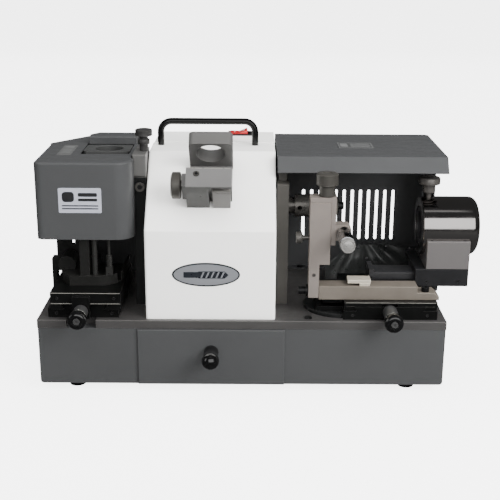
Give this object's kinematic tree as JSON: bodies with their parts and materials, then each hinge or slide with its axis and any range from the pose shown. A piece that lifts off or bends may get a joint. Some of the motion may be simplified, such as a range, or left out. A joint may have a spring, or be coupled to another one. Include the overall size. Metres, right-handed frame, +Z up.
{
  "type": "drill bit sharpener",
  "caption": "Bench grinder for drill bits and end mills: guarded drill station on the left, tilting tool table with indexing work head on the right, tool drawer below.",
  "frame": {"origin": "on the floor, under the middle of the whole machine", "axes": "+X to the operator's right, +Y to the back, +Z up; the drawer opens towards -Y"},
  "size_m": [0.522, 0.2504, 0.3078],
  "materials": {
    "grey_paint": "fine satin texture",
    "white_paint": "satin powder coat",
    "rubber": "moulded",
    "black_gloss": "polished",
    "black_moulded": "fine grain",
    "red_plastic": "moulded",
    "black_iron": "black oxide",
    "ground_steel": "ground",
    "turned_steel": "turned",
    "dark_steel": "blued",
    "dark_chrome": "polished",
    "satin_chrome": "satin",
    "screws": "black oxide",
    "abrasive": "bonded abrasive rim",
    "motor_iron": "cast",
    "motor_core": "laminated core with copper windings",
    "bearing_steel": "polished",
    "capacitor_can": "plain",
    "boot_cloth": "coated cloth"
  },
  "bodies": {
    "frame": {"base_plate": "grey_paint", "base_cabinet": "grey_paint", "rubber_feet": "rubber", "housing_front": "white_paint", "housing_rear": "white_paint", "carrying_handle": "black_moulded", "switch_bezel": "black_moulded", "mains_inlet": "black_moulded", "motor_shell": "motor_iron", "motor_stator": "motor_core", "shaft_bearings": "bearing_steel", "left_bearing_plate": "black_iron", "right_bearing_plate": "black_iron", "run_capacitor": "capacitor_can", "hood": "grey_paint", "hood_back": "grey_paint", "left_slide_base": "black_iron", "rear_guard": "grey_paint", "cover_bracket": "black_iron", "gauge_body": "ground_steel", "gauge_ring": "dark_steel", "swivel_base": "black_iron", "frame_screws": "screws"},
    "drawer": {"drawer": "grey_paint", "drawer_knob": "black_gloss"},
    "switch": {"switch_rocker": "red_plastic"},
    "rotor": {"rotor_core": "motor_core", "motor_shaft": "turned_steel", "left_wheel": "abrasive", "right_wheel": "abrasive", "wheel_bolts": "screws"},
    "cover": {"left_cover": "grey_paint"},
    "post_knob": {"post_knob": "turned_steel"},
    "left_slide": {"left_slide": "black_iron", "seat_frame": "black_iron", "seat_rods": "turned_steel", "chuck_seat": "ground_steel"},
    "left_knob": {"left_feed_knob": "black_gloss", "left_feed_screw": "turned_steel"},
    "gauge_jaw": {"gauge_jaw": "ground_steel"},
    "gauge_knob": {"gauge_knob": "turned_steel"},
    "swivel": {"right_slide_base": "black_iron"},
    "right_knob": {"right_feed_knob": "black_gloss", "right_feed_screw": "turned_steel"},
    "right_slide": {"right_slide": "black_iron", "table_bar": "ground_steel", "cross_rail": "ground_steel", "table_screws": "screws", "dust_boot": "boot_cloth"},
    "table_stop": {"table_stop": "ground_steel"},
    "column": {"column_post": "ground_steel"},
    "column_slide": {"column_slide": "ground_steel"},
    "column_knob": {"column_knob": "turned_steel"},
    "thumb_screw": {"thumb_screw": "turned_steel"},
    "thimble": {"micrometer_thimble": "satin_chrome"},
    "head_slide": {"head_slide": "black_iron", "head_block": "ground_steel", "head_barrel": "dark_chrome"},
    "head_spindle": {"head_spindle": "dark_steel"},
    "index_plunger": {"index_plunger": "turned_steel"}
  },
  "joints": [
    {"name": "drawer_pull", "type": "slide", "parent": "frame", "child": "drawer", "axis": [0, -1, 0], "range_m": [0, 0.12]},
    {"name": "switch_rock", "type": "hinge", "parent": "frame", "child": "switch", "pos_m": [-0.0255, 0.104, 0.2716], "axis": [0, 1, 0], "range_deg": [0, 20]},
    {"name": "rotor_spin", "type": "hinge", "parent": "frame", "child": "rotor", "pos_m": [0.029, 0.021, 0.202], "axis": [1, 0, 0], "continuous": true},
    {"name": "cover_lift", "type": "slide", "parent": "frame", "child": "cover", "axis": [0, 0, 1], "range_m": [0, 0.05]},
    {"name": "post_knob_turn", "type": "hinge", "parent": "frame", "child": "post_knob", "pos_m": [-0.1385, -0.009, 0.28], "axis": [0, 0, 1], "range_deg": [0, 360]},
    {"name": "left_feed", "type": "slide", "parent": "frame", "child": "left_slide", "axis": [0, 1, 0], "range_m": [-0.004, 0.008]},
    {"name": "left_knob_turn", "type": "hinge", "parent": "left_slide", "child": "left_knob", "pos_m": [-0.208, -0.097, 0.102], "axis": [0, 1, 0], "range_deg": [-720, 1440]},
    {"name": "gauge_jaw_feed", "type": "slide", "parent": "frame", "child": "gauge_jaw", "axis": [1, 0, 0], "range_m": [-0.004, 0]},
    {"name": "gauge_knob_turn", "type": "hinge", "parent": "frame", "child": "gauge_knob", "pos_m": [-0.091, -0.06632, 0.24745], "axis": [1, 0, 0], "range_deg": [0, 1440]},
    {"name": "table_swivel", "type": "hinge", "parent": "frame", "child": "swivel", "pos_m": [0.097, -0.033, 0.095], "axis": [0, 0, 1], "range_deg": [-15, 5]},
    {"name": "right_knob_turn", "type": "hinge", "parent": "swivel", "child": "right_knob", "pos_m": [0.1525, -0.097, 0.1], "axis": [0, 1, 0], "range_deg": [-1080, 1080]},
    {"name": "right_feed", "type": "slide", "parent": "swivel", "child": "right_slide", "axis": [0, 1, 0], "range_m": [-0.006, 0.006]},
    {"name": "table_stop_slide", "type": "slide", "parent": "right_slide", "child": "table_stop", "axis": [1, 0, 0], "range_m": [-0.02, 0.04]},
    {"name": "column_tilt", "type": "hinge", "parent": "right_slide", "child": "column", "pos_m": [0.063, -0.062, 0.12], "axis": [1, 0, 0], "range_deg": [0, 20]},
    {"name": "column_feed", "type": "slide", "parent": "column", "child": "column_slide", "axis": [0, 0, 1], "range_m": [-0.018, 0]},
    {"name": "column_knob_turn", "type": "hinge", "parent": "column", "child": "column_knob", "pos_m": [0.0763, -0.062, 0.24], "axis": [0, 0, 1], "range_deg": [-3240, 0]},
    {"name": "thumb_screw_turn", "type": "hinge", "parent": "column", "child": "thumb_screw", "pos_m": [0.054, -0.062, 0.185], "axis": [1, 0, 0], "range_deg": [0, 180]},
    {"name": "thimble_turn", "type": "hinge", "parent": "column_slide", "child": "thimble", "pos_m": [0.0965, -0.097, 0.1925], "axis": [0, 1, 0], "range_deg": [-1080, 1080]},
    {"name": "head_feed", "type": "slide", "parent": "right_slide", "child": "head_slide", "axis": [1, 0, 0], "range_m": [-0.045, 0]},
    {"name": "head_spin", "type": "hinge", "parent": "head_slide", "child": "head_spindle", "pos_m": [0.219, -0.012, 0.1865], "axis": [1, 0, 0], "continuous": true},
    {"name": "index_pull", "type": "slide", "parent": "head_slide", "child": "index_plunger", "axis": [0, 0, 1], "range_m": [0, 0.004], "stiffness_N_per_m": 300, "springref_m": -0.003}
  ],
  "couplings": [
    {"joint": "left_knob_turn", "follows": "left_feed", "rad_per_m": 3141.6},
    {"joint": "right_knob_turn", "follows": "right_feed", "rad_per_m": 3141.6},
    {"joint": "column_knob_turn", "follows": "column_feed", "rad_per_m": 3141.6},
    {"joint": "gauge_knob_turn", "follows": "gauge_jaw_feed", "rad_per_m": -6283.2}
  ]
}
